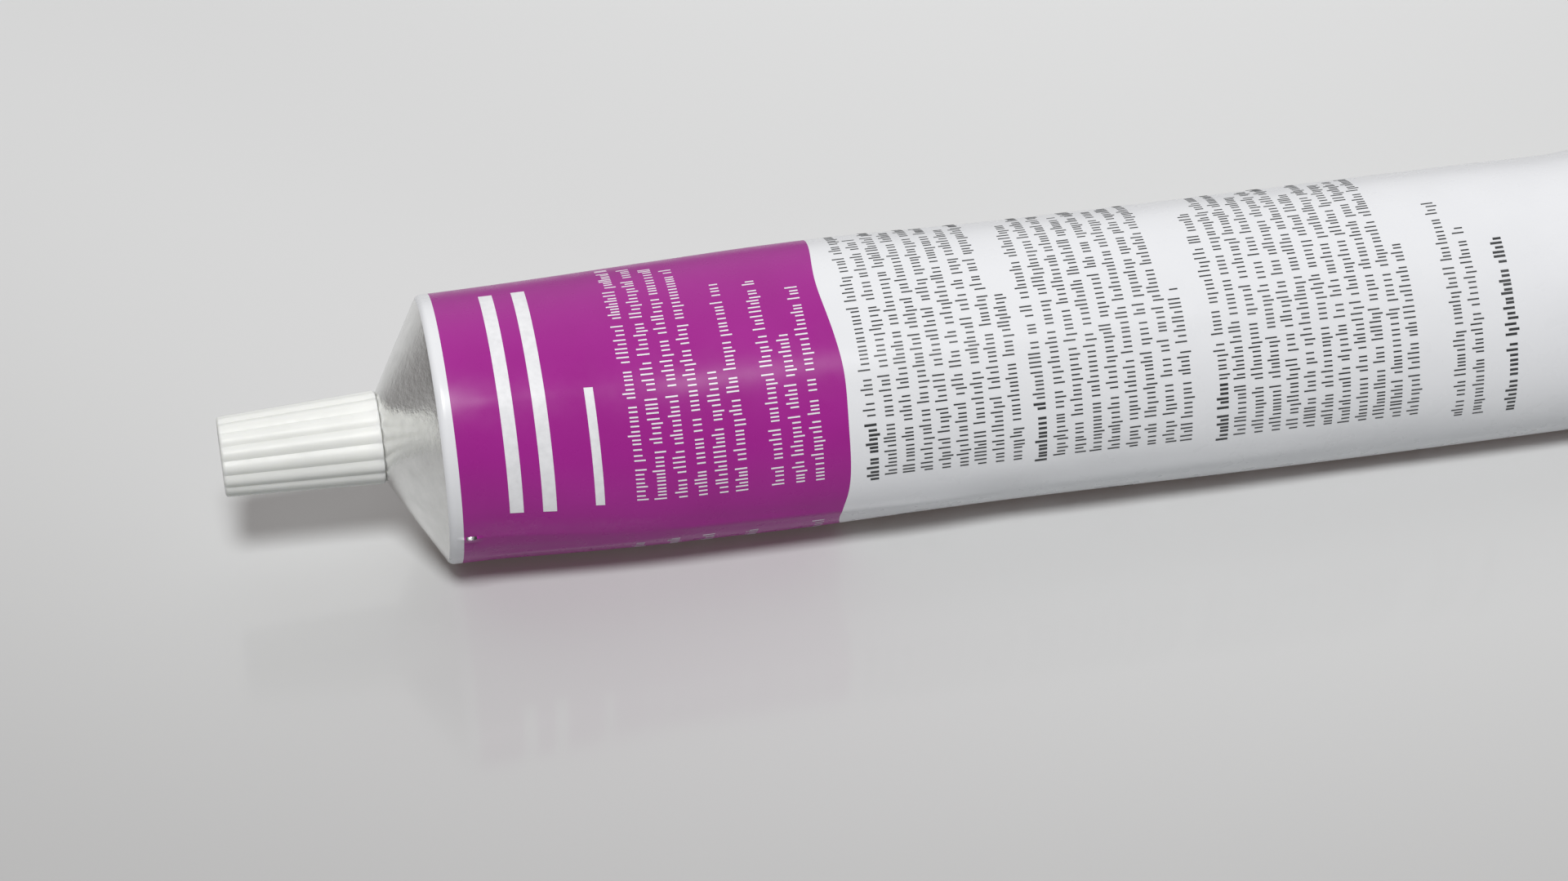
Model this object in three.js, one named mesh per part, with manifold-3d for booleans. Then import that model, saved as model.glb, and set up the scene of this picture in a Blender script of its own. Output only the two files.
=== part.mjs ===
// Squeeze tube of acrylic glue: an aluminium tube with a folded tail, and a fluted screw cap.
// Millimetres, +Z up. The tube lies on a table along X, with its cap towards -X and its tail towards +X.
// Inside the model x = 0 is the rim, where the shoulder cone meets the sleeve.
import * as THREE from "three";
import { mergeVertices } from "three/addons/utils/BufferGeometryUtils.js";
import Module from "manifold-3d";

// Sleeve and shoulder
const tubeRadius = 15;
const sleeveWall = 0.14;
const bodyLength = 178;
const shoulderAngle = THREE.MathUtils.degToRad(30);
const shoulderThickness = 0.45;
const rimFillet = 0.9;

// How the filled sleeve settles: slightly oval, with a flat underneath where it lies on the table
const ovalFlattening = 1.17;
const ovalLength = 26;
const restFlatDepth = 0.6;

// Tail: the sleeve closes like a wedge, ends in a flat band and is folded over twice
const taperLength = 37;
const taperBlend = 1.8;
const slitHalf = 0.1;
const bandLength = 2;
const foldWidth = 4.5;
const stripThickness = 0.34;
const foldGap = 0.1;
const stripInset = 0.3;
const stripOverlap = 0.15;

// Neck
const neckRadius = 3;
const neckLength = 6.5;
const neckChamfer = 0.3;
const neckBore = 2;

// Membrane over the mouth, and the liner between it and the cap
const seatGap = 0.1;
const membraneThickness = 0.12;
const membraneInset = 0.3;
const linerThickness = 1;
const linerClearance = 0.15;

// Screw cap, with a socket for the neck at one end and a piercing spike in the other
const threadDepth = 0.45;
const threadClearance = 0.15;
const capWall = 1.25;
const capEndWall = 0.78;
const capBaseGap = 0.35;
const capEdge = 0.35;
const partitionThickness = 1.7;
const pierceClearance = 0.3;
const recessDepth = 6.8;
const spikeBaseRadius = 1.3;
const spikeTipRadius = 0.2;
const spikeSetback = 1;
const fluteCount = 16;
const fluteDepth = 0.35;

// Sealing bead in the tail, and the glue
const beadLength = 2.4;
const beadGap = 0.08;
const fillGap = 0.25;

// Facets
const aroundTube = 48;
const stepsPerFlute = 6;
const aroundCap = 48;
const ovalSteps = 5;
const taperSteps = 11;
const rimSteps = 3;
const foldArcDivisions = 3;
const samePoint = 1e-6;

const wasm = await Module();
wasm.setup();

// A closed mesh as a solid that can be joined and cut. Triangles that shrank to a line are left out.
function solidFrom(geometry) {
  const bare = new THREE.BufferGeometry();
  bare.setAttribute("position", geometry.getAttribute("position"));
  bare.setIndex(geometry.getIndex());
  const merged = mergeVertices(bare);
  const index = merged.getIndex().array;
  const kept = [];
  for (let i = 0; i < index.length; i += 3) {
    const [a, b, c] = index.slice(i, i + 3);
    if (a !== b && b !== c && c !== a) kept.push(a, b, c);
  }
  const vertProperties = merged.getAttribute("position").array;
  const triVerts = new Uint32Array(kept);
  return new wasm.Manifold(new wasm.Mesh({ numProp: 3, vertProperties, triVerts }));
}

function geometryFrom(solid) {
  const mesh = solid.getMesh();
  const geometry = new THREE.BufferGeometry();
  geometry.setAttribute("position", new THREE.BufferAttribute(mesh.vertProperties, 3));
  geometry.setIndex(new THREE.BufferAttribute(mesh.triVerts, 1));
  geometry.computeVertexNormals();
  return geometry;
}

// A closed skin over rings of equally many points. The rings follow each other along +X, and each
// runs from +Y towards +Z.
function loft(rings) {
  const around = rings[0].length;
  const middles = [rings[0], rings.at(-1)].map((ring) =>
    ring.reduce((sum, point) => sum.add(point), new THREE.Vector3()).divideScalar(around),
  );
  const geometry = new THREE.BufferGeometry().setFromPoints([...rings.flat(), ...middles]);
  const startMiddle = rings.length * around;
  const endMiddle = startMiddle + 1;
  const lastRing = startMiddle - around;
  const index = [];
  for (let i = 0; i < around; i += 1) {
    const next = (i + 1) % around;
    for (let row = 0; row < lastRing; row += around) {
      const above = row + around;
      index.push(row + i, row + next, above + next, row + i, above + next, above + i);
    }
    index.push(startMiddle, next, i, endMiddle, lastRing + i, lastRing + next);
  }
  geometry.setIndex(index);
  return geometry;
}

// A profile of [x, radius] points turned round the tube's axis
function revolve(profile) {
  const points = profile.map(([x, radius]) => new THREE.Vector2(radius, x));
  const geometry = new THREE.LatheGeometry(points, aroundCap);
  geometry.rotateZ(-Math.PI / 2);
  geometry.translate(0, 0, tubeRadius);
  return geometry;
}

// The flat tail is half the tube's girth wide. It leans so far that its lower corner meets the table.
const girth = 2 * Math.PI * tubeRadius;
const tailLean = Math.asin(tubeRadius / (girth / 4));
const longAxis = new THREE.Vector3(0, Math.cos(tailLean), Math.sin(tailLean));
const shortAxis = new THREE.Vector3(0, -Math.sin(tailLean), Math.cos(tailLean));
const flatStart = bodyLength - foldWidth - bandLength;
const endHalf = sleeveWall + slitHalf;
const bodyHalf = tubeRadius - ovalFlattening;

// Perimeter of an ellipse by Ramanujan's formula
function ellipsePerimeter(a, b) {
  return Math.PI * (3 * (a + b) - Math.sqrt((3 * a + b) * (a + 3 * b)));
}

// The sheet doesn't stretch, so a section that is thinner is wider: its girth stays the same.
function longHalf(shortHalf) {
  let low = shortHalf;
  let high = 2 * tubeRadius;
  for (let halving = 0; halving < 40; halving += 1) {
    const middle = (low + high) / 2;
    if (ellipsePerimeter(middle, shortHalf) < girth) low = middle;
    else high = middle;
  }
  return low;
}

// The smaller of two values, rounded off where they come within blend of each other
function softMin(a, b, blend) {
  const near = Math.max(blend - Math.abs(a - b), 0) / blend;
  return Math.min(a, b) - (near * near * blend) / 4;
}

// Half thickness of the sleeve: round at the rim, slightly oval along the body, a wedge at the tail
function shortHalf(x) {
  const settled = THREE.MathUtils.smoothstep(x, 0, ovalLength);
  const body = THREE.MathUtils.lerp(tubeRadius, bodyHalf, settled);
  const wedge = endHalf + ((flatStart - x) * bodyHalf) / taperLength;
  return softMin(body, wedge, taperBlend);
}

// An oval section of the sleeve, which lies on the table wherever along the tube it is
function sectionAt(x) {
  const short = shortHalf(x);
  const long = longHalf(short);
  const reach = Math.hypot(long * longAxis.z, short * shortAxis.z);
  const pressed = THREE.MathUtils.smoothstep(x, 0, ovalLength);
  const released = THREE.MathUtils.smoothstep(x, flatStart - taperLength, flatStart);
  const centre = reach - restFlatDepth * pressed * (1 - released);
  return { x, long, short, centre };
}

function roundSection([x, radius]) {
  return { x, long: radius, short: radius, centre: tubeRadius };
}

// Points of a section, drawn in by inset, and cut off flat at inset above the table
function ring({ x, long, short, centre }, inset = 0) {
  return Array.from({ length: aroundTube }, (_, i) => {
    const angle = (2 * Math.PI * i) / aroundTube;
    const point = new THREE.Vector3(x, 0, centre);
    point.addScaledVector(longAxis, (long - inset) * Math.cos(angle));
    point.addScaledVector(shortAxis, (short - inset) * Math.sin(angle));
    point.z = Math.max(point.z, inset);
    return point;
  });
}

// Places along the sleeve where its section is drawn, close together only where it changes
const rimLength = rimFillet * Math.tan((Math.PI / 2 - shoulderAngle) / 2);
const taperStart = flatStart - (taperLength * (bodyHalf + taperBlend - endHalf)) / bodyHalf;
const stations = [];
for (let i = 0; i < ovalSteps; i += 1) {
  stations.push(THREE.MathUtils.lerp(rimLength, ovalLength, i / ovalSteps));
}
stations.push(ovalLength);
for (let i = 0; i < taperSteps; i += 1) {
  stations.push(THREE.MathUtils.lerp(taperStart, flatStart, i / taperSteps));
}

// The shoulder cone, as the distance in front of the rim at a radius
function shoulderAt(radius) {
  return (tubeRadius - radius) * Math.tan(shoulderAngle);
}
const neckRoot = shoulderAt(neckRadius);
const mouth = neckRoot + neckLength;

function outerSkin() {
  const rimAngle = Math.PI / 2 - shoulderAngle;
  const rim = Array.from({ length: rimSteps }, (_, i) => {
    const angle = rimAngle * (1 - i / rimSteps);
    const x = rimLength - rimFillet * Math.sin(angle);
    return [x, tubeRadius - rimFillet * (1 - Math.cos(angle))];
  });
  const nose = [
    [-mouth, neckRadius - neckChamfer],
    [neckChamfer - mouth, neckRadius],
    [-neckRoot, neckRadius],
    ...rim,
  ];
  const sleeve = [...stations, flatStart].map(sectionAt);
  return loft([...nose.map(roundSection), ...sleeve].map((section) => ring(section)));
}

// The space inside the tube, smaller by gap all round, from a point in the neck to a point in the tail
function insideSkin(gap, neckEnd, tailEnd) {
  const backset = (shoulderThickness + gap) / Math.cos(shoulderAngle);
  const bore = neckBore - gap;
  const sleeveRadius = tubeRadius - sleeveWall - gap;
  const nose = [
    [neckEnd, bore],
    [backset - shoulderAt(bore), bore],
    [backset - shoulderAt(sleeveRadius), sleeveRadius],
  ];
  const noseEnd = nose.at(-1)[0];
  const places = stations.filter((x) => x > noseEnd + rimFillet && x < tailEnd);
  const sleeve = [...places, tailEnd].map((x) => ring(sectionAt(x), sleeveWall + gap));
  return loft([...nose.map(roundSection).map((section) => ring(section)), ...sleeve]);
}

// The flat end of the sleeve: a strip that turns back over itself, and its free edge back again inside
function foldedStrip() {
  const half = stripThickness / 2;
  const layer = stripThickness + foldGap;
  const outerBend = bodyLength - layer - half;
  const innerBend = bodyLength - foldWidth + layer / 2 + half;
  const path = new THREE.Path();
  path.moveTo(flatStart - stripOverlap, 0);
  path.lineTo(outerBend, 0);
  path.absarc(outerBend, layer, layer, -Math.PI / 2, Math.PI / 2, false);
  path.lineTo(innerBend, 2 * layer);
  path.absarc(innerBend, 1.5 * layer, layer / 2, Math.PI / 2, 1.5 * Math.PI, false);
  path.lineTo(outerBend, layer);
  // Where a line meets an arc the path has the same point twice.
  const line = path.getPoints(foldArcDivisions).filter((point, i, all) => {
    return i === 0 || point.distanceTo(all[i - 1]) > samePoint;
  });
  const sides = line.map((point, i) => {
    const before = line[Math.max(i - 1, 0)];
    const after = line[Math.min(i + 1, line.length - 1)];
    const along = new THREE.Vector2().subVectors(after, before).normalize();
    const across = new THREE.Vector2(-along.y, along.x).multiplyScalar(half);
    return [point.clone().sub(across), point.clone().add(across)];
  });
  const outline = [...sides.map(([right]) => right), ...sides.map(([, left]) => left).reverse()];
  const tail = sectionAt(flatStart);
  const width = 2 * (tail.long - stripInset);
  const strip = new THREE.ExtrudeGeometry(new THREE.Shape(outline), { depth: width, bevelEnabled: false });
  strip.translate(0, 0, -width / 2);
  const along = new THREE.Vector3(1, 0, 0);
  const frame = new THREE.Matrix4().makeBasis(along, shortAxis, longAxis.clone().negate());
  frame.setPosition(0, 0, tail.centre);
  strip.applyMatrix4(frame);
  return strip;
}

function tubeShell() {
  const skin = solidFrom(outerSkin());
  const inside = solidFrom(insideSkin(0, -mouth - neckChamfer, flatStart));
  return geometryFrom(skin.subtract(inside).add(solidFrom(foldedStrip())));
}

// Distances in front of the rim, from the mouth outwards
const membraneSeat = mouth + seatGap;
const membraneFace = membraneSeat + membraneThickness;
const linerSeat = membraneFace + seatGap;
const linerFace = linerSeat + linerThickness;
const socketEnd = linerFace + seatGap;
const recessFloor = socketEnd + partitionThickness;
const capEnd = recessFloor + recessDepth;

const socketRadius = neckRadius + threadDepth + threadClearance;
const recessRadius = neckRadius + pierceClearance;
const capBaseRadius = socketRadius + capWall + fluteDepth;
const capEndRadius = recessRadius + capEndWall + fluteDepth;
const capBase = shoulderAt(capBaseRadius) + capBaseGap;

function disc(radius, seat, face) {
  return revolve([
    [-face, 0],
    [-face, radius],
    [-seat, radius],
    [-seat, 0],
  ]);
}

// Ridges with a round crest and a sharp valley between them
function flutedRing(x, crest) {
  const around = fluteCount * stepsPerFlute;
  return Array.from({ length: around }, (_, i) => {
    const angle = (2 * Math.PI * i) / around;
    const valley = 1 - Math.abs(Math.sin((fluteCount * angle) / 2));
    const radius = crest - fluteDepth * valley;
    return new THREE.Vector3(x, radius * Math.cos(angle), tubeRadius + radius * Math.sin(angle));
  });
}

function screwCap() {
  const crestAt = (distance) =>
    THREE.MathUtils.mapLinear(distance, capBase, capEnd, capBaseRadius, capEndRadius);
  const bevel = capEdge * Math.SQRT1_2;
  const outside = loft([
    flutedRing(-capEnd, capEndRadius - capEdge),
    flutedRing(-capEnd + capEdge - bevel, capEndRadius - capEdge + bevel),
    flutedRing(-capEnd + capEdge, crestAt(capEnd - capEdge)),
    flutedRing(-capBase - capEdge, crestAt(capBase + capEdge)),
    flutedRing(-capBase, capBaseRadius - capEdge),
  ]);
  // The base is dished to the slope of the shoulder, so that the rim of the cap comes down to it.
  const dishAt = (radius) => -(shoulderAt(radius) + capBaseGap);
  const socket = revolve([
    [-socketEnd, 0],
    [-socketEnd, socketRadius],
    [dishAt(socketRadius), socketRadius],
    [dishAt(capBaseRadius), capBaseRadius],
    [dishAt(capBaseRadius) + capEdge, capBaseRadius],
    [dishAt(capBaseRadius) + capEdge, 0],
  ]);
  const recess = revolve([
    [-capEnd - capEdge, 0],
    [-capEnd - capEdge, recessRadius],
    [-recessFloor, recessRadius],
    [-recessFloor, spikeBaseRadius],
    [-capEnd + spikeSetback, spikeTipRadius],
    [-capEnd + spikeSetback, 0],
  ]);
  return geometryFrom(solidFrom(outside).subtract(solidFrom(socket)).subtract(solidFrom(recess)));
}

// The bead lies in the point of the wedge, where the walls of the tail meet.
const beadStart = flatStart - stripOverlap - beadGap - beadLength;

function tailBead() {
  const thinEnd = slitHalf / 4;
  const inset = sleeveWall + beadGap;
  const beadEnd = beadStart + beadLength - beadGap;
  const places = [beadStart, beadEnd];
  return loft(places.map((x) => ring(sectionAt(x), Math.min(inset, shortHalf(x) - thinEnd))));
}

function mesh(name, geometry, color, roughness, metalness) {
  const material = new THREE.MeshStandardMaterial({ color, roughness, metalness });
  const made = new THREE.Mesh(geometry, material);
  made.name = name;
  return made;
}

const membraneRadius = neckRadius - membraneInset;
const linerRadius = socketRadius - linerClearance;

const tube = new THREE.Group();
tube.add(
  mesh("tube_shell", tubeShell(), "#dedfe3", 0.35, 0.2),
  mesh("seal_membrane", disc(membraneRadius, membraneSeat, membraneFace), "#c9cbce", 0.3, 0.9),
  mesh("tail_sealant", tailBead(), "#d8cfae", 0.8, 0),
  mesh("adhesive_fill", insideSkin(fillGap, -mouth + fillGap, beadStart - fillGap), "#e8ecec", 0.1, 0),
);

const cap = new THREE.Group();
cap.add(
  mesh("screw_cap", screwCap(), "#eaebe6", 0.45, 0),
  mesh("cap_liner", disc(linerRadius, linerSeat, linerFace), "#f2f0e8", 0.8, 0),
);

// The origin is on the table, under the middle of the part.
const assembly = new THREE.Group();
assembly.add(tube, cap);
const bounds = new THREE.Box3().setFromObject(assembly, true);
const middle = bounds.getCenter(new THREE.Vector3());
assembly.position.set(-middle.x, -middle.y, -bounds.min.z);

const part = new THREE.Group();
part.add(assembly);

export default part;
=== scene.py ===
"""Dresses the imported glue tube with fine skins, print and materials, and adds floor, light and camera."""
import math
import random
from functools import lru_cache

import bpy
from mathutils import Matrix, Vector


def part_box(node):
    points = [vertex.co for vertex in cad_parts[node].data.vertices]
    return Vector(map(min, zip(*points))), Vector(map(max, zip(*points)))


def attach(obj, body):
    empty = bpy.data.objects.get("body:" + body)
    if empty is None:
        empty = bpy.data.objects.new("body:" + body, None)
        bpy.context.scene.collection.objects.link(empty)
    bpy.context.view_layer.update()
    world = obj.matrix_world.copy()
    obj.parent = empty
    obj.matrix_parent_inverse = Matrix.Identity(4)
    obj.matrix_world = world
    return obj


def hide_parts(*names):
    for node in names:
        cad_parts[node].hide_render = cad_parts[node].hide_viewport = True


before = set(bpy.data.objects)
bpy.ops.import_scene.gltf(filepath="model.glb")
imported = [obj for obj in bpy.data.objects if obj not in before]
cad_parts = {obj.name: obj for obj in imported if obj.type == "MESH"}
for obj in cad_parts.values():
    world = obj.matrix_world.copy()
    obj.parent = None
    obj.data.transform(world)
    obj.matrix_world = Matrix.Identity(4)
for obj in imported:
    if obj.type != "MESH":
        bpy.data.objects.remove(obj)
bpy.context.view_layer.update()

# Sizes of the solids in mm, as in the part's source. x runs from the rim towards the tail.
TUBE_RADIUS = 15
SLEEVE_WALL = 0.14
BODY_LENGTH = 178
# By how much the outline turns between the cone and the neck or the sleeve
SHOULDER_TURN = math.radians(60)
SHOULDER_SLOPE = math.tan(SHOULDER_TURN / 2)
SHOULDER_THICKNESS = 0.45
RIM_FILLET = 0.9
OVAL_FLATTENING = 1.17
OVAL_LENGTH = 26
REST_FLAT_DEPTH = 0.6
TAPER_LENGTH = 37
TAPER_BLEND = 1.8
SLIT_HALF = 0.1
BAND_LENGTH = 2
FOLD_WIDTH = 4.5
STRIP_THICKNESS = 0.34
FOLD_GAP = 0.1
STRIP_INSET = 0.3
NECK_RADIUS = 3
NECK_LENGTH = 6.5
NECK_BORE = 2
THREAD_DEPTH = 0.45
THREAD_CLEARANCE = 0.15
THREAD_PITCH = 2
SEAT_GAP = 0.1
MEMBRANE_THICKNESS = 0.12
LINER_THICKNESS = 1
PARTITION_THICKNESS = 1.7
RECESS_DEPTH = 6.8
PIERCE_CLEARANCE = 0.3
CAP_WALL = 1.25
CAP_END_WALL = 0.78
CAP_BASE_GAP = 0.35
CAP_EDGE = 0.35
SPIKE_BASE_RADIUS = 1.3
SPIKE_TIP_RADIUS = 0.2
SPIKE_SETBACK = 1
FLUTE_COUNT = 16
FLUTE_DEPTH = 0.35
FILL_GAP = 0.25

# How the cap looks: shallower flutes that are turned a little, and a base that almost meets the cone
FLUTE_SHARE = 0.8
FLUTE_TURN = math.radians(5.1)
BASE_DROP = 0.17
BASE_CLEARANCE = 0.06

# Print, in mm behind the rim
RIM_BAND_END = 1.25
PURPLE_END = 44
# How the band's end wanders: ring angle and half width in degrees, and how far in mm. The rings follow it
# for some way along the tube.
BAND_WANDER = ((57, 22, -0.85), (100, 14, 0.22), (170, 18, -1.0))
BAND_WANDER_REACH = 12

# Points round the tube and the cap, with more of them at the ring angles, in degrees, of fine creases
AROUND = 160
FINE_START, FINE_END, FINE_STEP = 148.5, 182.25, 0.75

GIRTH = 2 * math.pi * TUBE_RADIUS
TAIL_LEAN = math.asin(TUBE_RADIUS / (GIRTH / 4))
LONG_AXIS = Vector((0, math.cos(TAIL_LEAN), math.sin(TAIL_LEAN)))
SHORT_AXIS = Vector((0, -math.sin(TAIL_LEAN), math.cos(TAIL_LEAN)))
ALONG = Vector((1, 0, 0))
FLAT_START = BODY_LENGTH - FOLD_WIDTH - BAND_LENGTH
END_HALF = SLEEVE_WALL + SLIT_HALF
BODY_HALF = TUBE_RADIUS - OVAL_FLATTENING


def shoulder_at(radius):
    """How far in front of the rim the shoulder cone has this radius."""
    return (TUBE_RADIUS - radius) * SHOULDER_SLOPE


NECK_ROOT = shoulder_at(NECK_RADIUS)
MOUTH = NECK_ROOT + NECK_LENGTH
SOCKET_END = MOUTH + 3 * SEAT_GAP + MEMBRANE_THICKNESS + LINER_THICKNESS
RECESS_FLOOR = SOCKET_END + PARTITION_THICKNESS
CAP_END = RECESS_FLOOR + RECESS_DEPTH
SOCKET_RADIUS = NECK_RADIUS + THREAD_DEPTH + THREAD_CLEARANCE
RECESS_RADIUS = NECK_RADIUS + PIERCE_CLEARANCE
CAP_BASE_RADIUS = SOCKET_RADIUS + CAP_WALL + FLUTE_DEPTH
CAP_END_RADIUS = RECESS_RADIUS + CAP_END_WALL + FLUTE_DEPTH
CAP_BASE = shoulder_at(CAP_BASE_RADIUS) + CAP_BASE_GAP

# Where the rim is in the frame, in mm
shell_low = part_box("tube_shell")[0]
cap_low, cap_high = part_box("screw_cap")
RIM_X = shell_low[0] * 1000 + MOUTH
AXIS_Y = (cap_low[1] + cap_high[1]) * 500


def place(point):
    """A point of the model in mm, in the frame in metres."""
    return Vector(((point[0] + RIM_X) / 1000, (point[1] + AXIS_Y) / 1000, point[2] / 1000))


def smooth(value, low, high):
    """Rises smoothly from 0 at low to 1 at high."""
    t = min(max((value - low) / (high - low), 0), 1)
    return t * t * (3 - 2 * t)


def soft_min(a, b, blend):
    """The smaller of two values, rounded off where they come within blend of each other."""
    near = max(blend - abs(a - b), 0) / blend
    return min(a, b) - near * near * blend / 4


def bell(distance):
    """A soft bump, 1 in the middle."""
    return math.exp(-distance * distance)


# Sleeve

def ellipse_perimeter(a, b):
    """Close to the perimeter of an ellipse with these half axes."""
    return math.pi * (3 * (a + b) - math.sqrt((3 * a + b) * (a + 3 * b)))


@lru_cache(maxsize=None)
def section(x):
    """Half axes of the sleeve at x, and the height of its middle. Its girth is the same everywhere."""
    body = TUBE_RADIUS - OVAL_FLATTENING * smooth(x, 0, OVAL_LENGTH)
    wedge = END_HALF + (FLAT_START - x) * BODY_HALF / TAPER_LENGTH
    short = soft_min(body, wedge, TAPER_BLEND)
    low, high = short, 2 * TUBE_RADIUS
    for _ in range(40):
        middle = (low + high) / 2
        if ellipse_perimeter(middle, short) < GIRTH:
            low = middle
        else:
            high = middle
    reach = math.hypot(low * LONG_AXIS.z, short * SHORT_AXIS.z)
    pressed = smooth(x, 0, OVAL_LENGTH)
    released = smooth(x, FLAT_START - TAPER_LENGTH, FLAT_START)
    return low, short, reach - REST_FLAT_DEPTH * pressed * (1 - released)


# Soft dents from handling: x, ring angle in degrees, half length, half width and depth in mm.
# The last one is a bulge.
DENTS = (
    (23, 194, 12, 6.0, 0.62),
    (58, 194, 30, 6.0, 0.65),
    (30, 60, 26, 7.0, 0.20),
    (62, 166, 5, 2.6, 0.22),
    (74, 158, 9, 3.0, 0.12),
    (96, 60, 22, 6.0, 0.16),
    (104, 164, 8, 3.0, 0.16),
    (128, 120, 14, 5.0, 0.14),
    (58, 320, 16, 6.0, 0.18),
    (108, 300, 18, 6.0, 0.16),
    (22, 300, 10, 5.0, 0.14),
    (138, 20, 12, 5.0, 0.15),
    (43, 14, 18, 9.0, -0.55),
)
# Soft ridges: ring angle at the rim and its drift per mm in degrees, half width, height, from x to x in mm
RIDGES = (
    (96.5, -0.06, 2.6, 0.15, 9, 118),
    (97.3, -0.30, 0.9, 0.07, 1, 24),
    (179.5, -0.46, 0.9, 0.11, 1, 32),
    (158, 0.1, 0.6, 0.05, 1, 24),
    (154.5, 0.22, 0.8, 0.10, 22, 68),
    (168, -0.04, 1.6, 0.08, 46, 112),
    (290, 0.05, 2.2, 0.12, 4, 126),
)
# Where ridges and dents fade, in mm: around their start, before a ridge's end, and towards the tail
RISE_BEFORE, RISE_AFTER = 1, 5
RIDGE_FADE = 20
CALM_START, CALM_END = 132, 158
# A small sharp crease beside the rim: x, ring angle in degrees, half length, widths above and below it
# and height in mm
NICK = (2.05, 158.25, 0.9, 0.2, 0.9, 0.36)
# The lacquer is worn off its faces that lie this near to its crest, in metres, and look up this much.
WORN_REACH, WORN_TILT = 0.0006, 0.2
# How softly the sleeve settles on the table, in mm
REST_BLEND = 0.3


def nick_out(x, degrees):
    """How far the sharp crease stands out. It is steep on its upper side."""
    nick_x, nick_angle, half_length, above, below, height = NICK
    across = math.radians(degrees - nick_angle) * TUBE_RADIUS
    share = max(0, 1 - abs(across) / (above if across < 0 else below))
    return height * share * bell((x - nick_x) / half_length)


def bump_out(x, angle):
    """How far the sleeve stands out from its plain section, in mm."""
    degrees = math.degrees(angle) % 360
    out = 0
    for dent_x, dent_angle, half_length, half_width, depth in DENTS:
        across = (degrees - dent_angle + 180) % 360 - 180
        reach = math.hypot((x - dent_x) / half_length, math.radians(across) * TUBE_RADIUS / half_width)
        out -= depth * bell(reach)
    for start_angle, drift, half_width, height, start, end in RIDGES:
        across = (degrees - start_angle - drift * x + 180) % 360 - 180
        ends = smooth(x, start - RISE_BEFORE, start + RISE_AFTER) * (1 - smooth(x, end - RIDGE_FADE, end))
        out += height * ends * bell(math.radians(across) * TUBE_RADIUS / half_width)
    fade = smooth(x, RIM_BAND_END - RISE_BEFORE, RIM_BAND_END + RISE_AFTER)
    fade *= 1 - smooth(x, CALM_START, CALM_END)
    return out * fade + nick_out(x, degrees)


def on_sleeve(x, angle, lift=0):
    """A point of the sleeve, lift mm outside its outer face. It lies flat on the table underneath."""
    long, short, centre = section(x)
    outward = LONG_AXIS * (math.cos(angle) / long) + SHORT_AXIS * (math.sin(angle) / short)
    outward.normalize()
    point = Vector((x, 0, centre))
    point += LONG_AXIS * (long * math.cos(angle)) + SHORT_AXIS * (short * math.sin(angle))
    point += outward * (bump_out(x, angle) + lift)
    lowest = -min(lift, 0)
    point.z = -soft_min(-point.z, -lowest, REST_BLEND)
    return point


@lru_cache(maxsize=None)
def angles():
    """Ring angles of the points of every ring."""
    degrees = {360 * i / AROUND for i in range(AROUND)}
    degrees.update(steps_between(FINE_START, FINE_END, round((FINE_END - FINE_START) / FINE_STEP)))
    return [math.radians(value) for value in sorted(degrees)]


def sleeve_ring(x, lift=0):
    """A ring of the sleeve, lift mm outside its outer face."""
    return [on_sleeve(x, angle, lift) for angle in angles()]


def band_ring(x):
    """A ring of the sleeve that wanders along it near the end of the purple band."""
    ring = []
    for angle in angles():
        shift = 0
        for middle, half_width, most in BAND_WANDER:
            shift += most * bell((math.degrees(angle) - middle) / half_width)
        ring.append(on_sleeve(x + shift * bell((x - PURPLE_END) / BAND_WANDER_REACH), angle))
    return ring


def round_ring(x, radius, wave=None):
    """A ring round the tube's axis, with wave(angle) added to its radius. Its points match the sleeve's."""
    ring = []
    for angle in angles():
        reach = radius + (wave(angle) if wave else 0)
        across = LONG_AXIS * math.cos(angle) + SHORT_AXIS * math.sin(angle)
        ring.append(Vector((x, 0, TUBE_RADIUS)) + across * reach)
    return ring


# Half widths of the thread's crest and foot
CREST_HALF, FOOT_HALF = 0.12, 0.42


def thread(distance, angle):
    """Height of the thread, from 0 to 1, at a distance in front of the rim. It is right-handed."""
    turned = (angle + TAIL_LEAN - math.pi / 2) / (2 * math.pi)
    phase = (distance / THREAD_PITCH + turned) % 1
    flank = abs(phase - 0.5) * THREAD_PITCH
    return 1 - smooth(flank, CREST_HALF, FOOT_HALF)


def arc(centre_x, centre_radius, radius, start, end, steps):
    """Points x, radius along an arc, with angles in degrees from +x towards larger radius."""
    points = []
    for i in range(steps + 1):
        angle = math.radians(start + (end - start) * i / steps)
        points.append((centre_x + radius * math.cos(angle), centre_radius + radius * math.sin(angle)))
    return points


def steps_between(start, end, count):
    """count values from start on, without end."""
    return [start + (end - start) * i / count for i in range(count)]


# Building meshes

# Edges that turn by more than this show as sharp
SHARP_ANGLE = math.radians(38)


def loft(name, rings, zones, materials):
    """A closed skin over rings in their order. zones has the material of the stretch after each ring."""
    around = len(rings[0])
    points = [place(point) for ring in rings for point in ring]
    faces, indices = [], []
    for row in range(len(rings) - 1):
        low, high = row * around, (row + 1) * around
        for i in range(around):
            after = (i + 1) % around
            faces.append((low + i, low + after, high + after, high + i))
            indices.append(zones[row])
    for ring, flip in ((0, True), (len(rings) - 1, False)):
        pole = len(points)
        points.append(sum((place(point) for point in rings[ring]), Vector()) / around)
        first = ring * around
        for i in range(around):
            edge = (first + i, first + (i + 1) % around)
            faces.append((pole, *(reversed(edge) if flip else edge)))
            indices.append(zones[0] if flip else zones[-1])
    return finished(name, points, faces, materials, indices)


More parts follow.
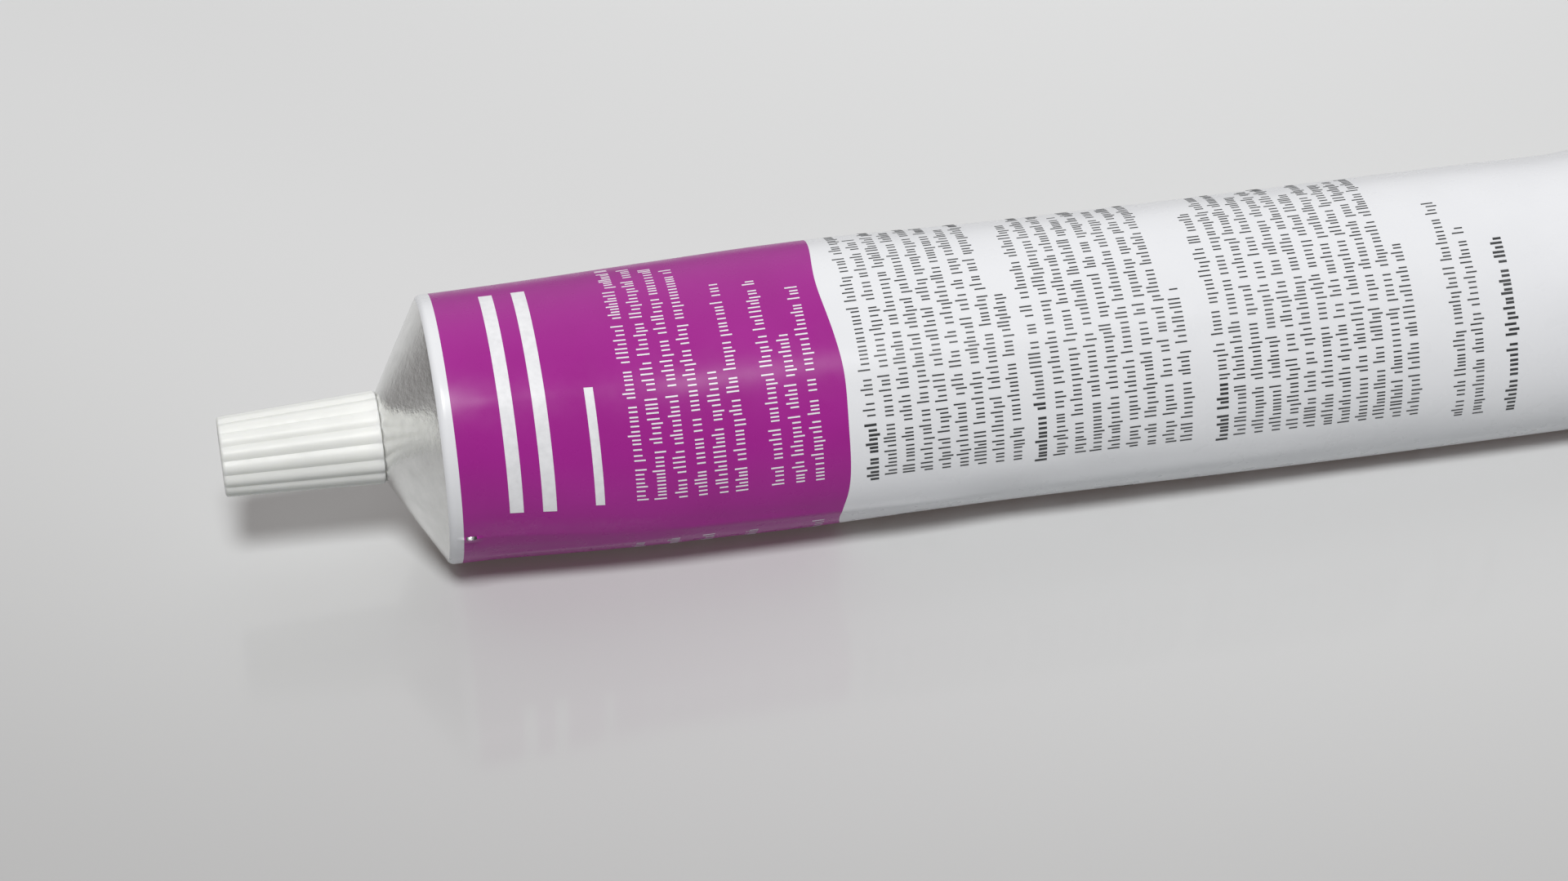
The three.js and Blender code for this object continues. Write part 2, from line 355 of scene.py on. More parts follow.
def finished(name, points, faces, materials, indices=None):
    """An object from points and faces, smooth apart from its sharp edges."""
    mesh = bpy.data.meshes.new(name)
    mesh.from_pydata(points, [], faces)
    for material in materials:
        mesh.materials.append(material)
    if indices:
        mesh.polygons.foreach_set("material_index", indices)
    mesh.polygons.foreach_set("use_smooth", [True] * len(faces))
    mesh.set_sharp_from_angle(angle=SHARP_ANGLE)
    mesh.update()
    made = bpy.data.objects.new(name, mesh)
    bpy.context.scene.collection.objects.link(made)
    return made


# Materials

class Nodes:
    """A material's nodes, with a principled shader and coordinates in metres."""

    def __init__(self, name):
        self.material = bpy.data.materials.new(name)
        self.material.use_nodes = True
        self.tree = self.material.node_tree
        self.shader = next(n for n in self.tree.nodes if n.type == "BSDF_PRINCIPLED")
        self.place = self.tree.nodes.new("ShaderNodeTexCoord").outputs["Object"]

    def set(self, **values):
        """Sets sockets of the shader, with _ in place of the spaces in their names."""
        for key, value in values.items():
            self.shader.inputs[key.replace("_", " ")].default_value = value

    def link(self, output, socket):
        """Leads an output into a socket of the shader."""
        self.tree.links.new(output, self.shader.inputs[socket])

    def stretched(self, scale):
        """Coordinates stretched along the axes."""
        node = self.tree.nodes.new("ShaderNodeMapping")
        node.inputs["Scale"].default_value = scale
        self.tree.links.new(self.place, node.inputs["Vector"])
        return node.outputs["Vector"]

    def noise(self, size_mm, detail=3, roughness=0.5, vector=None):
        """Noise with features about size_mm across."""
        node = self.tree.nodes.new("ShaderNodeTexNoise")
        node.inputs["Scale"].default_value = 1000 / size_mm
        node.inputs["Detail"].default_value = detail
        node.inputs["Roughness"].default_value = roughness
        self.tree.links.new(vector or self.place, node.inputs["Vector"])
        return node.outputs["Fac"]

    def ramp(self, factor, *stops):
        """A colour for each value of factor."""
        node = self.tree.nodes.new("ShaderNodeValToRGB")
        elements = node.color_ramp.elements
        while len(elements) < len(stops):
            elements.new(0.5)
        for element, (position, color) in zip(elements, stops):
            element.position = position
            element.color = (*color, 1)
        self.tree.links.new(factor, node.inputs["Fac"])
        return node.outputs["Color"]

    def spread(self, factor, low, high, start=0.3, end=0.7):
        """factor from start to end, as a number from low to high."""
        node = self.tree.nodes.new("ShaderNodeMapRange")
        for key, value in (("From Min", start), ("From Max", end), ("To Min", low), ("To Max", high)):
            node.inputs[key].default_value = value
        self.tree.links.new(factor, node.inputs["Value"])
        return node.outputs["Result"]

    def bump(self, height, depth_mm, normal=None):
        """The normal of a surface with this relief."""
        node = self.tree.nodes.new("ShaderNodeBump")
        node.inputs["Strength"].default_value = 1
        node.inputs["Distance"].default_value = depth_mm / 1000
        self.tree.links.new(height, node.inputs["Height"])
        if normal:
            self.tree.links.new(normal, node.inputs["Normal"])
        return node.outputs["Normal"]


def lacquer(name, dark, light, roughness):
    """Lacquer on soft metal: faint clouds in colour and gloss, shallow waves and a fine grain."""
    made = Nodes(name)
    clouds = made.noise(size_mm=9, detail=4)
    made.link(made.ramp(clouds, (0.3, dark), (0.7, light)), "Base Color")
    made.link(made.spread(made.noise(size_mm=2.2, detail=4), *roughness), "Roughness")
    waves = made.bump(made.noise(size_mm=4.5, detail=1), depth_mm=0.03)
    grain = made.noise(size_mm=0.35, detail=2)
    made.link(made.bump(grain, depth_mm=0.0006, normal=waves), "Normal")
    made.set(Specular_IOR_Level=0.22)
    return made.material


def ink(name, dark, light):
    """Printed ink, slightly uneven."""
    made = Nodes(name)
    made.link(made.ramp(made.noise(size_mm=0.8), (0.3, dark), (0.7, light)), "Base Color")
    made.link(made.spread(made.noise(size_mm=0.5, detail=2), low=0.34, high=0.46), "Roughness")
    return made.material


def frosted_metal(name, dark, light, roughness):
    """Bare soft aluminium: frosted and blotchy, with a fine grain."""
    made = Nodes(name)
    blotches = made.noise(size_mm=2.6, detail=5, roughness=0.62)
    made.link(made.ramp(blotches, (0.28, dark), (0.72, light)), "Base Color")
    gloss = made.noise(size_mm=1.4, detail=4, roughness=0.6)
    made.link(made.spread(gloss, *roughness), "Roughness")
    frost = made.bump(made.noise(size_mm=0.7, detail=4, roughness=0.6), depth_mm=0.03)
    grain = made.noise(size_mm=0.25, detail=2)
    made.link(made.bump(grain, depth_mm=0.001, normal=frost), "Normal")
    made.set(Metallic=1)
    return made.material


def moulded(name, dark, light, roughness, grain_mm, glow):
    """Moulded plastic, foam or rubber: faint clouds, and a fine skin that light passes under by glow."""
    made = Nodes(name)
    made.link(made.ramp(made.noise(size_mm=3.5), (0.3, dark), (0.7, light)), "Base Color")
    made.link(made.spread(made.noise(size_mm=1.2), *roughness), "Roughness")
    streaks = made.noise(size_mm=1.1, detail=2, vector=made.stretched((0.3, 1, 1)))
    flow = made.bump(streaks, depth_mm=0.012)
    grain = made.noise(size_mm=0.12, detail=2)
    made.link(made.bump(grain, grain_mm, normal=flow), "Normal")
    made.set(Subsurface_Weight=glow, Subsurface_Radius=(1, 1, 0.9), Subsurface_Scale=0.0015)
    made.set(Specular_IOR_Level=0.35)
    return made.material


def clear_glue(name):
    """Clear viscous glue with faint streaks."""
    made = Nodes(name)
    streaks = made.noise(size_mm=6, vector=made.stretched((0.4, 1, 1)))
    made.link(made.ramp(streaks, (0.3, (0.80, 0.83, 0.82)), (0.7, (0.88, 0.89, 0.88))), "Base Color")
    made.link(made.spread(made.noise(size_mm=3, detail=2), low=0.05, high=0.12), "Roughness")
    made.set(Transmission_Weight=0.6, IOR=1.45)
    return made.material


white_enamel = lacquer("white_enamel", (0.772, 0.778, 0.800), (0.797, 0.803, 0.824), (0.25, 0.33))
purple_ink = lacquer("purple_ink", (0.335, 0.020, 0.252), (0.362, 0.023, 0.276), (0.25, 0.33))
bare_aluminium = frosted_metal("bare_aluminium", (0.70, 0.70, 0.69), (0.84, 0.84, 0.83), (0.12, 0.22))
foil = frosted_metal("membrane_foil", (0.70, 0.70, 0.70), (0.80, 0.80, 0.80), (0.20, 0.34))
cap_plastic = moulded(
    "cap_plastic", (0.765, 0.770, 0.742), (0.795, 0.800, 0.772), (0.40, 0.52), grain_mm=0.0012, glow=0.5)
liner_foam = moulded(
    "liner_foam", (0.80, 0.79, 0.72), (0.87, 0.86, 0.80), (0.75, 0.9), grain_mm=0.02, glow=0)
latex = moulded(
    "latex_sealant", (0.62, 0.54, 0.33), (0.72, 0.64, 0.42), (0.6, 0.8), grain_mm=0.01, glow=0)
glue = clear_glue("clear_adhesive")
light_ink = ink("light_ink", (0.76, 0.76, 0.78), (0.84, 0.84, 0.86))
dark_ink = ink("dark_ink", (0.030, 0.032, 0.034), (0.050, 0.052, 0.055))


# Tube: one skin from the inside of the tail through the neck, and over the outside to the folded end

BARE, ENAMEL, PURPLE = 0, 1, 2
# The inside follows the sleeve from this x on, with this many rings
INSIDE_START, INSIDE_RINGS = 3, 96
# Fillets of the mouth, inside and outside, and where the neck stands on the cone
LIP_INSIDE, LIP_OUTSIDE, NECK_FILLET = 0.15, 0.3, 0.35
NECK_RINGS, CONE_RINGS = 62, 20
# How steeply the edges of the flat strip rise
STRIP_EDGE = 7


def inner_rings():
    """The inside, from the tail along the sleeve, down the cone and along the bore to the mouth."""
    places = steps_between(FLAT_START - 0.5, INSIDE_START, INSIDE_RINGS)
    rings = [sleeve_ring(x, -SLEEVE_WALL) for x in places]
    backset = SHOULDER_THICKNESS * math.hypot(1, SHOULDER_SLOPE)
    for radius in (TUBE_RADIUS - SLEEVE_WALL - 0.1, 13, 10, 7, 4.5, NECK_BORE + 0.3, NECK_BORE):
        rings.append(round_ring(backset - shoulder_at(radius), radius))
    for x in (-NECK_ROOT - 1.5, -NECK_ROOT - 3.5, -MOUTH + 0.4):
        rings.append(round_ring(x, NECK_BORE))
    return rings


def neck_rings():
    """The lip, the threaded neck and the shoulder cone, up to the fillet of the rim."""
    lip = arc(-MOUTH + LIP_INSIDE, NECK_BORE + LIP_INSIDE, LIP_INSIDE, 270, 180, 4)
    lip += arc(-MOUTH + LIP_OUTSIDE, NECK_RADIUS - LIP_OUTSIDE, LIP_OUTSIDE, 180, 90, 5)
    rings = [round_ring(x, radius) for x, radius in lip]
    start, end = MOUTH - 0.35, NECK_ROOT + NECK_FILLET
    for distance in steps_between(start, end, NECK_RINGS):
        height = THREAD_DEPTH * smooth(start - distance, 0.1, 0.9) * smooth(distance - end, 0.0, 0.8)
        rings.append(round_ring(-distance, NECK_RADIUS, lambda a: height * thread(distance, a)))
    turn_x = -NECK_ROOT - NECK_FILLET * math.tan(SHOULDER_TURN / 2)
    foot = arc(turn_x, NECK_RADIUS + NECK_FILLET, NECK_FILLET, 270, 330, 5)
    rings += [round_ring(x, radius) for x, radius in foot]
    cone_start = foot[-1][1] + 0.3
    cone_end = TUBE_RADIUS - RIM_FILLET * (1 - math.cos(SHOULDER_TURN))
    for radius in steps_between(cone_start, cone_end, CONE_RINGS):
        rings.append(round_ring(-shoulder_at(radius), radius))
    return rings


def rim_rings():
    """The rounded rim between the cone and the sleeve."""
    rim_length = RIM_FILLET * math.tan(SHOULDER_TURN / 2)
    edge = arc(rim_length, TUBE_RADIUS - RIM_FILLET, RIM_FILLET, 150, 92, 9)
    return [round_ring(x, radius) for x, radius in edge]


def fold_ring(x, height, turn, half_width, half_thickness):
    """A flat section of the folded end. Its faces are turned by an angle about the tail's long axis."""
    middle = Vector((x, 0, section(FLAT_START)[2])) + SHORT_AXIS * height
    normal = SHORT_AXIS * math.cos(turn) - ALONG * math.sin(turn)
    ring = []
    for angle in angles():
        thick = max(-1, min(1, STRIP_EDGE * math.sin(angle)))
        point = middle + LONG_AXIS * (half_width * math.cos(angle)) + normal * (half_thickness * thick)
        ring.append(point)
    return ring


def fold_rings():
    """The flat end, folded over twice, with its free edge inside."""
    half = STRIP_THICKNESS / 2
    layer = STRIP_THICKNESS + FOLD_GAP
    width = section(FLAT_START)[0] - STRIP_INSET
    outer = BODY_LENGTH - layer - half
    inner = BODY_LENGTH - FOLD_WIDTH + layer / 2 + half
    rings = []

    def add(x, height, turn, wider=0):
        rings.append(fold_ring(x, height, turn, width + wider, half))

    # The sleeve's flat end, which narrows to the strip
    for offset, wider in ((0.4, 0.2), (0.8, 0.1), (1.2, 0)):
        add(FLAT_START + offset, 0, 0, wider)
    for x in steps_between(FLAT_START + 1.7, outer, 6):
        add(x, 0, 0)
    # The outer fold, the way back, the inner fold and the free edge
    for turn in steps_between(0, math.pi, 10) + [math.pi]:
        add(outer + layer * math.sin(turn), layer * (1 - math.cos(turn)), turn)
    for x in steps_between(outer, inner, 6)[1:]:
        add(x, 2 * layer, math.pi)
    for turn in steps_between(0, math.pi, 8) + [math.pi]:
        add(inner - layer / 2 * math.sin(turn), layer * (1.5 + math.cos(turn) / 2), math.pi + turn)
    for x in steps_between(inner, outer, 4)[1:] + [outer]:
        add(x, layer, 2 * math.pi)
    return rings


# Between these the rings follow the band's end
WANDER_START, WANDER_END = 6, 126
# The outside of the sleeve: from x, to x, how many rings of which kind, and their material
STRETCHES = (
    (RIM_BAND_END, WANDER_START, 24, sleeve_ring, PURPLE),
    (WANDER_START, PURPLE_END, 38, band_ring, PURPLE),
    (PURPLE_END, WANDER_END, 82, band_ring, ENAMEL),
    (WANDER_END, FLAT_START, 46, sleeve_ring, ENAMEL),
)


def tube_skin():
    """The tube's skin, with the lacquer worn off the upper side of the sharp crease."""
    rings, zones = [], []

    def add(more, zone):
        rings.extend(more)
        zones.extend([zone] * len(more))

    add(inner_rings() + neck_rings(), BARE)
    add(rim_rings(), ENAMEL)
    add([sleeve_ring(x) for x in (0.75, 1.1)], ENAMEL)
    for start, end, count, ring, zone in STRETCHES:
        add([ring(x) for x in steps_between(start, end, count)], zone)
    add([sleeve_ring(FLAT_START)], ENAMEL)
    add(fold_rings(), ENAMEL)
    made = loft("tube_skin", rings, zones, [bare_aluminium, white_enamel, purple_ink])
    crest = place(on_sleeve(NICK[0], math.radians(NICK[1])))
    for face in made.data.polygons:
        if (face.center - crest).length < WORN_REACH and face.normal.z > WORN_TILT:
            face.material_index = BARE
    return made


tube = tube_skin()
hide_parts("tube_shell")
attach(tube, "tube")


# Cap

# How much of the flutes is left at the cap's free end and at its base
END_FLUTES, BASE_FLUTES = 0.55, 0.4
# Steps along the spike, along the flutes, round the edges and along the socket
SPIKE_STEPS, FLUTE_STEPS, EDGE_STEPS, SOCKET_STEPS = 12, 24, 6, 64


def flutes(angle):
    """Ridges with a round crest and a sharp valley, as a drop from the crest between 0 and -1."""
    round_axis = angle + TAIL_LEAN + FLUTE_TURN
    return abs(math.sin(FLUTE_COUNT * round_axis / 2)) - 1


def cap_skin():
    """One skin from the spike through the recess, over the flutes and the base into the threaded socket."""
    rings = []
    round_edge = [math.radians(90 * i / EDGE_STEPS) for i in range(EDGE_STEPS + 1)]

    def turned(points):
        """Adds plain rings, each at a distance in front of the rim and with a radius."""
        rings.extend(round_ring(-distance, radius) for distance, radius in points)

    def fluted(distance, radius, share=1):
        """Adds a ring with flutes and keeps it clear of the shoulder."""
        ring = round_ring(-distance, radius, lambda a: FLUTE_DEPTH * FLUTE_SHARE * share * flutes(a))
        for point in ring:
            reach = math.hypot(point.y, point.z - TUBE_RADIUS)
            point.x = min(point.x, -shoulder_at(reach) - BASE_CLEARANCE)
        rings.append(ring)

    # The spike, with a blunt tip
    tip = CAP_END - SPIKE_SETBACK
    spike_start, spike_end = tip - 0.1, RECESS_FLOOR + 0.25
    turned([(tip, 0.06), (tip - 0.03, 0.13), (spike_start, SPIKE_TIP_RADIUS)])
    for i in range(1, SPIKE_STEPS):
        share = i / SPIKE_STEPS
        radius = SPIKE_TIP_RADIUS + (SPIKE_BASE_RADIUS - SPIKE_TIP_RADIUS) * share
        turned([(spike_start + (spike_end - spike_start) * share, radius)])
    # The recess: a floor with rounded corners, given by height and radius, then the wall and its edge
    for height, radius in (
        (0.25, SPIKE_BASE_RADIUS), (0.1, 1.36), (0.02, 1.46), (0, 1.62), (0, 2.4), (0, 3.0),
        (0.04, 3.16), (0.14, 3.26),
    ):
        turned([(RECESS_FLOOR + height, radius)])
    for height in (0.3, 1.7, 3.4, 5.1):
        turned([(RECESS_FLOOR + height, RECESS_RADIUS)])
    for depth, wider in ((0.2, 0), (0.06, 0.06), (0, 0.2)):
        turned([(CAP_END - depth, RECESS_RADIUS + wider)])
    # The outside, from the free end to the base
    for i, angle in enumerate(round_edge):
        crest = CAP_END_RADIUS - CAP_EDGE * (1 - math.sin(angle))
        share = END_FLUTES + (1 - END_FLUTES) * i / EDGE_STEPS
        fluted(CAP_END - CAP_EDGE * (1 - math.cos(angle)), crest, share)
    base = CAP_BASE - BASE_DROP
    for i in range(1, FLUTE_STEPS):
        distance = CAP_END - CAP_EDGE + (base + 2 * CAP_EDGE - CAP_END) * i / FLUTE_STEPS
        along = (distance - CAP_BASE) / (CAP_END - CAP_BASE)
        fluted(distance, CAP_BASE_RADIUS + (CAP_END_RADIUS - CAP_BASE_RADIUS) * along)
    for i, angle in enumerate(round_edge):
        crest = CAP_BASE_RADIUS - CAP_EDGE * (1 - math.cos(angle))
        share = 1 - (1 - BASE_FLUTES) * i / EDGE_STEPS
        fluted(base + CAP_EDGE * (1 - math.sin(angle)), crest, share)
    # The base is dished to the slope of the shoulder.
    for radius in (4.45, 4.1, 3.85):
        turned([(shoulder_at(radius) + CAP_BASE_GAP - BASE_DROP, radius)])
    # The socket, whose thread stands half a turn from the neck's
    start = shoulder_at(SOCKET_RADIUS) + CAP_BASE_GAP + 0.15
    turned([(start - 0.08, SOCKET_RADIUS + 0.08)])
    end = SOCKET_END - 0.3
    for distance in steps_between(start, end, SOCKET_STEPS):
        height = THREAD_DEPTH * smooth(distance - start, 0.2, 1.0) * smooth(end - 1.3 - distance, 0.0, 0.8)
        rings.append(round_ring(
            -distance, SOCKET_RADIUS, lambda a: -height * thread(distance, a + math.pi)))
    turned([(end, SOCKET_RADIUS), (SOCKET_END - 0.06, SOCKET_RADIUS - 0.06)])
    turned([(SOCKET_END, radius) for radius in (SOCKET_RADIUS - 0.25, 2.2, 0.8)])
    return loft("cap_body", rings, [0] * len(rings), [cap_plastic])


cap = cap_skin()
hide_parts("screw_cap")
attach(cap, "cap")


def glue_body():
    """The glue, which fills the tube from the neck to the bead in the tail."""
    start, end = (corner[0] * 1000 - RIM_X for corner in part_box("adhesive_fill"))
    bore = NECK_BORE - FILL_GAP
    backset = (SHOULDER_THICKNESS + FILL_GAP) * math.hypot(1, SHOULDER_SLOPE)
    widest = TUBE_RADIUS - SLEEVE_WALL - FILL_GAP
    rings = [round_ring(start, bore)]
    for radius in steps_between(bore, widest, 8) + [widest]:
        rings.append(round_ring(backset - shoulder_at(radius), radius))
    for x in steps_between(INSIDE_START, end, INSIDE_RINGS) + [end]:
        rings.append(sleeve_ring(x, -SLEEVE_WALL - FILL_GAP))
    return loft("glue", rings, [0] * len(rings), [glue])


filling = glue_body()
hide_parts("adhesive_fill")
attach(filling, "tube")

# The solids that stay as they are
for node, material in (
    ("seal_membrane", foil),
    ("cap_liner", liner_foam),
    ("tail_sealant", latex),
):
    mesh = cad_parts[node].data
    mesh.materials.clear()
    mesh.materials.append(material)


# Print: plain stripes and upright strokes in place of words, as thin films on the skin. Sizes in mm.

FILM = 0.03
STROKE_STEP = 0.8
STROKE_HEIGHT, STROKE_WIDTH, BOLD_WIDTH = 0.95, 0.16, 0.27
ASCENT, DESCENT = 0.42, 0.3
# How often strokes are plain, rise above the others or drop below them
KIND_WEIGHTS = (7, 3, 1)
STROKE_PITCH = (0.38, 0.64)
WORD_STROKES = (3, 15)
WORD_GAP = 0.5
DEGREES_PER_MM = 360 / GIRTH


class Print:
    """Strokes of one ink, collected into one mesh."""

    def __init__(self):
        self.points, self.faces = [], []

    def stroke(self, x, angle, height, width):
        """A stroke along the tube with its middle at x and at a ring angle in degrees."""
        rows = math.ceil(height / STROKE_STEP)
        columns = math.ceil(width / STROKE_STEP)
        first = len(self.points)
        for lift in (FILM, -FILM):
            for row in range(rows + 1):
                for column in range(columns + 1):
                    across = width * (column / columns - 0.5)
                    turned = math.radians(angle + across * DEGREES_PER_MM)
                    self.points.append(place(on_sleeve(x + height * (row / rows - 0.5), turned, lift)))
        layer_size = (rows + 1) * (columns + 1)

        def at(layer, row, column):
            return first + layer * layer_size + row * (columns + 1) + column

        for row in range(rows):
            for column in range(columns):
                corners = ((row, column), (row, column + 1), (row + 1, column + 1), (row + 1, column))
                self.faces.append([at(0, *corner) for corner in corners])
                self.faces.append([at(1, *corner) for corner in reversed(corners)])
        rim = [(0, column) for column in range(columns)]
        rim += [(row, columns) for row in range(rows)]
        rim += [(rows, column) for column in range(columns, 0, -1)]
        rim += [(row, 0) for row in range(rows, 0, -1)]
        for here, after in zip(rim, rim[1:] + rim[:1]):
            self.faces.append([at(0, *after), at(0, *here), at(1, *here), at(1, *after)])

    def line(self, x, start, length, dice, width=STROKE_WIDTH):
        """Strokes in groups as long as words, from a ring angle in degrees towards smaller ones."""
        along = 0
        left = dice.randint(*WORD_STROKES)
        while along < length:
            rise, drop = dice.choices(((0, 0), (ASCENT, 0), (0, DESCENT)), KIND_WEIGHTS)[0]
            middle = x + (drop - rise) / 2
            self.stroke(middle, start - along * DEGREES_PER_MM, STROKE_HEIGHT + rise + drop, width)
            along += dice.uniform(*STROKE_PITCH)
            left -= 1
            if left == 0:
                along += WORD_GAP
                left = dice.randint(*WORD_STROKES)

    def stripe(self, x, start, length, thickness):
        """A plain stripe round the tube, from a ring angle in degrees towards smaller ones."""
        self.stroke(x, start - length / 2 * DEGREES_PER_MM, thickness, length)

    def made(self, name, material):
        """An object of all the strokes."""
        return finished(name, self.points, self.faces, [material])


# Ring angle of the print's front edge at the rim, and its drift per mm, in degrees
FRONT_EDGE, FRONT_DRIFT = 141, 0.09


def front_edge(x):
    """Ring angle in degrees where the lines of print start."""
    return FRONT_EDGE + FRONT_DRIFT * x


# Stripes on the purple band: x, the x whose front edge they start at, shift of their start in degrees,
# length and thickness
STRIPES = (
    (7.1, 8.9, 3, 28, 1.5),
    (10.7, 8.9, 3, 28, 1.5),
    (16.2, 16.2, 0, 13, 1.0),
)
# Lines on the purple band: shift of their start in degrees, and the x and length of each
BAND_LINES = (
    (-2, ((20.7, 31), (23, 30), (25.3, 29.5), (27.5, 28), (29.8, 13.5), (32, 24))),
    (-3, ((36, 24), (38.3, 16), (40.5, 22))),
)
# Blocks of lines on the white part: x of the first line, pitch, and the length of each line
BLOCKS = (
    (46.6, 2.02, (33, 30, 34, 32, 35, 33, 31, 34, 19)),
    (65.6, 2.08, (30, 34, 33, 31, 35, 32, 33, 34, 17)),
    (86.4, 2.02, (28, 33, 34, 31, 33, 35, 30, 34, 32, 33, 34, 20)),
)
# How much of a block's first line is bold
BOLD_LENGTH = 7
# The lines behind the blocks: x, length and width of the strokes, and the shift of their start in degrees
LAST_LINES = ((114, 26, STROKE_WIDTH), (116.2, 22, STROKE_WIDTH), (120.2, 20, BOLD_WIDTH))
LAST_SHIFT = 2
# The far side: x and length of the lines on the band, which end at one ring angle, and x of the first line,
# number of lines and pitch of the blocks, which start at another
FAR_BAND_LINES = ((20.7, 26), (24.6, 24), (28.5, 26), (33.4, 14), (40.8, 10))
FAR_BAND_END = 170
FAR_BLOCKS = ((48.6, 10, 2.02), (71, 12, 2.02), (97.5, 9, 2.02))
FAR_BLOCK_START = 286
FAR_LENGTHS, FAR_LAST_LENGTH = (21, 27), 12

dice = random.Random(7)
light_print, dark_print = Print(), Print()
for x, edge_x, shift, length, thickness in STRIPES:
    light_print.stripe(x, front_edge(edge_x) + shift, length, thickness)
for shift, lines in BAND_LINES:
    for x, length in lines:
        light_print.line(x, front_edge(x) + shift, length, dice)
for first, pitch, lengths in BLOCKS:
    for i, length in enumerate(lengths):
        x = first + pitch * i
        bold = BOLD_LENGTH if i == 0 else 0
        dark_print.line(x, front_edge(x), bold, dice, BOLD_WIDTH)
        thin_start = front_edge(x) - (bold + WORD_GAP) * DEGREES_PER_MM
        dark_print.line(x, thin_start, length - bold, dice)
for x, length, width in LAST_LINES:
    dark_print.line(x, front_edge(x) + LAST_SHIFT, length, dice, width)

# The far side, of which the photo only shows the ends of the lines on the band
for x, length in FAR_BAND_LINES:
    light_print.line(x, FAR_BAND_END + length * DEGREES_PER_MM, length, dice)
for first, count, pitch in FAR_BLOCKS:
    for i in range(count):
        length = dice.uniform(*FAR_LENGTHS) if i < count - 1 else FAR_LAST_LENGTH
        dark_print.line(first + pitch * i, FAR_BLOCK_START, length, dice)

for name, sheet, material in (
    ("print_light", light_print, light_ink),
    ("print_dark", dark_print, dark_ink),
):
    film = sheet.made(name, material)
    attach(film, "tube")


# Floor, light and camera

# What the table shows where no light falls on it
SHADOW_TONE = (0.067, 0.054, 0.050)
# A painted pool of light on the table, darker with distance from its middle: its middle and reach in
# metres, its painted tones at shares of that reach, and their tint
PAINTED_POOL_MIDDLE = (0.05, 0.2, 0)
PAINTED_POOL_REACH = 0.6
PAINTED_POOL_TONES = ((0.1, 0.70), (0.3, 0.61), (0.58, 0.34))
PAINTED_POOL_TINT = (0.975, 1, 1.005)
# The table's half width and height in metres
TABLE_HALF, TABLE_LEVEL = 2.5, -0.00005


def floor():
    """A pale glossy table top with a painted pool of light, lighter towards the back. The shadows on it
    show soft and warm.
    """
    made = Nodes("table_top")
    middle = made.tree.nodes.new("ShaderNodeVectorMath")
    middle.operation = "DISTANCE"
    middle.inputs[1].default_value = PAINTED_POOL_MIDDLE
    made.tree.links.new(made.place, middle.inputs[0])
    far = made.spread(middle.outputs["Value"], low=0, high=1, start=0, end=PAINTED_POOL_REACH)
    # The base colour is a painted pool of light, darker away from its middle.
    painted_pool = made.ramp(far, *((share, [tone * tint for tint in PAINTED_POOL_TINT]) for share, tone in PAINTED_POOL_TONES))
    painted_pool.node.color_ramp.interpolation = "EASE"
    made.link(painted_pool, "Base Color")
    made.link(made.spread(made.noise(size_mm=30, detail=2), low=0.10, high=0.14), "Roughness")
    path = made.tree.nodes.new("ShaderNodeLightPath")
    seen = path.outputs["Is Camera Ray"]
    for kind in ("Is Glossy Ray", "Is Transmission Ray"):
        either = made.tree.nodes.new("ShaderNodeMath")
        either.operation = "MAXIMUM"
        made.tree.links.new(seen, either.inputs[0])
        made.tree.links.new(path.outputs[kind], either.inputs[1])
        seen = either.outputs["Value"]
    made.link(seen, "Emission Strength")
    made.set(Emission_Color=(*SHADOW_TONE, 1), Specular_IOR_Level=0.35)
    signs = ((-1, -1), (1, -1), (1, 1), (-1, 1))
    corners = [Vector((x * TABLE_HALF, y * TABLE_HALF, TABLE_LEVEL)) for x, y in signs]
    return finished("table", corners, [(0, 1, 2, 3)], [made.material])


floor()

# The key lamp, with its distance and size in metres and its power in watts
KEY_AZIMUTH, KEY_ELEVATION = math.radians(-11), math.radians(59)
KEY_DISTANCE, KEY_SIZE, KEY_POWER = 2.6, 0.72, 60
# Soft light from above and behind: cosine of the angle from its middle, and its level
SOFT_ELEVATION = math.radians(48)
SOFT_LIGHT = ((0.2, 0.03), (0.6, 0.09), (0.86, 0.6), (1, 0.97))


def direction(azimuth, elevation):
    """Towards a place at this elevation and this azimuth, which is 0 at the front."""
    flat = math.cos(elevation)
    return Vector((math.sin(azimuth) * flat, -math.cos(azimuth) * flat, math.sin(elevation)))


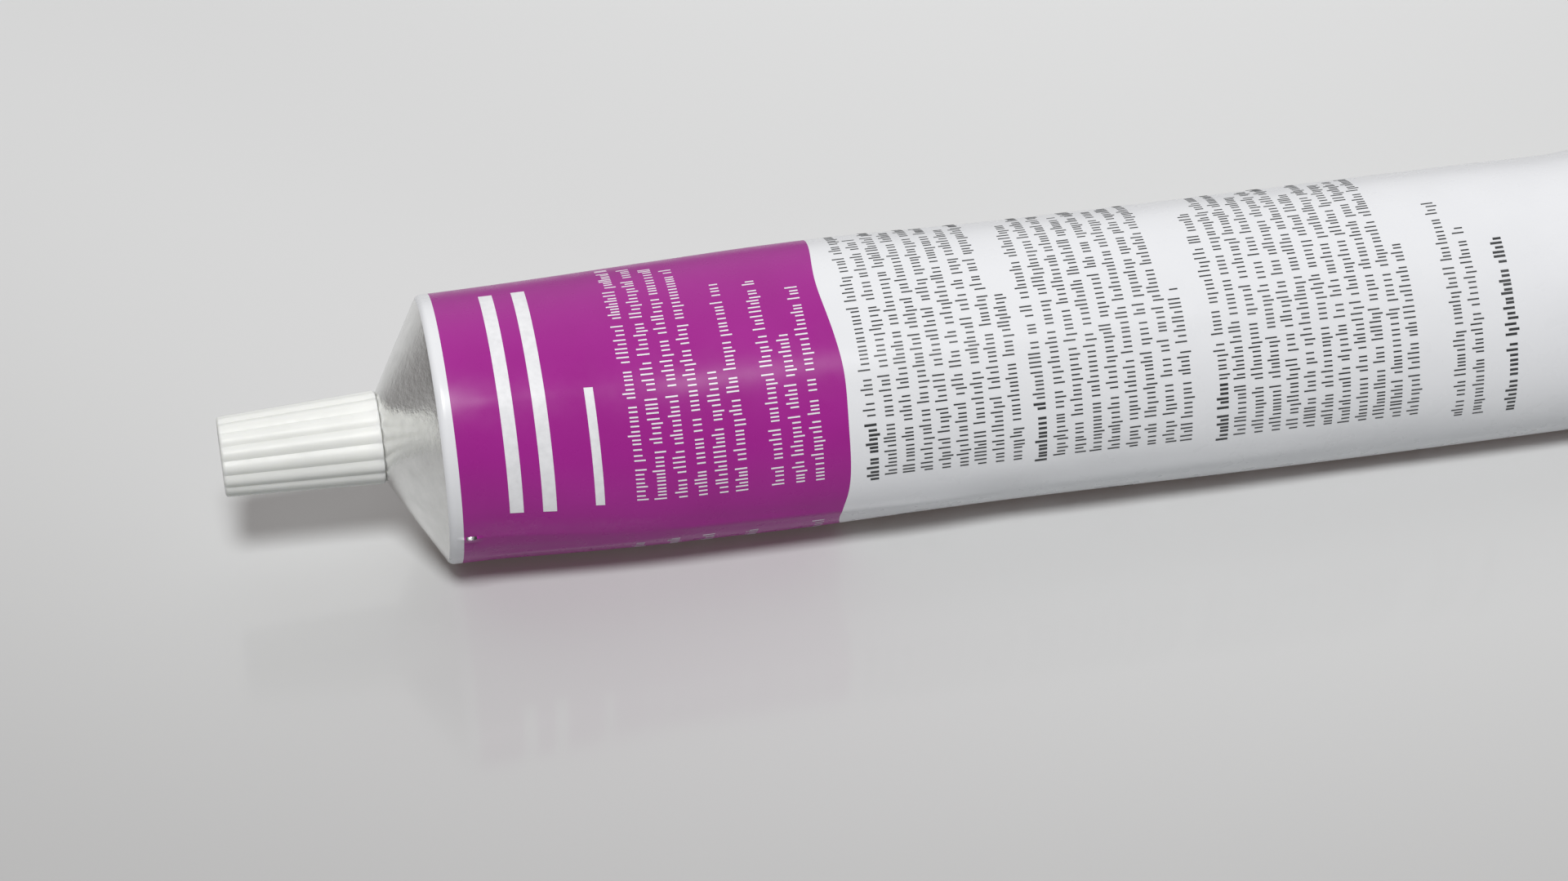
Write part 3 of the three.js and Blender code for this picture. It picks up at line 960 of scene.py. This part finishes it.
light = bpy.data.lights.new("key", "AREA")
light.shape = "DISK"
light.size = KEY_SIZE
light.energy = KEY_POWER
key = bpy.data.objects.new("key", light)
towards_key = direction(KEY_AZIMUTH, KEY_ELEVATION)
key.rotation_euler = towards_key.to_track_quat("Z", "Y").to_euler()
key.location = towards_key * KEY_DISTANCE
bpy.context.scene.collection.objects.link(key)

world = bpy.data.worlds.new("studio")
bpy.context.scene.world = world
world.use_nodes = True
tree = world.node_tree
background = next(n for n in tree.nodes if n.type == "BACKGROUND")
overhead = tree.nodes.new("ShaderNodeVectorMath")
overhead.operation = "DOT_PRODUCT"
overhead.inputs[1].default_value = direction(math.pi, SOFT_ELEVATION)
tree.links.new(tree.nodes.new("ShaderNodeTexCoord").outputs["Generated"], overhead.inputs[0])
glow = tree.nodes.new("ShaderNodeValToRGB")
for _ in SOFT_LIGHT[2:]:
    glow.color_ramp.elements.new(1)
for element, (position, level) in zip(glow.color_ramp.elements, SOFT_LIGHT):
    element.position = position
    element.color = (level, level, level, 1)
tree.links.new(overhead.outputs["Value"], glow.inputs["Fac"])
tree.links.new(glow.outputs["Color"], background.inputs["Color"])

# Camera, fitted to the photo's outlines of the rim, the cap and the sleeve. Lengths in mm.
ELEVATION, AZIMUTH, ROLL = (math.radians(v) for v in (36.219, 11.110, -0.823))
FOCUS = Vector((37.472, -10.329, 15))
DISTANCE = 418.75
FOCAL_PIXELS, IMAGE_WIDTH = 4669.4, 1920
back = direction(-AZIMUTH, ELEVATION)
right = Vector((math.cos(AZIMUTH), -math.sin(AZIMUTH), 0))
up = back.cross(right)
rolled_right = right * math.cos(ROLL) + up * math.sin(ROLL)
rolled_up = up * math.cos(ROLL) - right * math.sin(ROLL)
lens = bpy.data.cameras.new("camera")
lens.sensor_fit = "HORIZONTAL"
lens.sensor_width = 36
lens.lens = FOCAL_PIXELS * lens.sensor_width / IMAGE_WIDTH
lens.clip_start = 0.01
camera = bpy.data.objects.new("camera", lens)
turn = Matrix((rolled_right, rolled_up, back)).transposed().to_4x4()
camera.matrix_world = Matrix.Translation(place(FOCUS + back * DISTANCE)) @ turn
bpy.context.scene.collection.objects.link(camera)
bpy.context.scene.camera = camera
bpy.context.scene.view_settings.view_transform = "Standard"
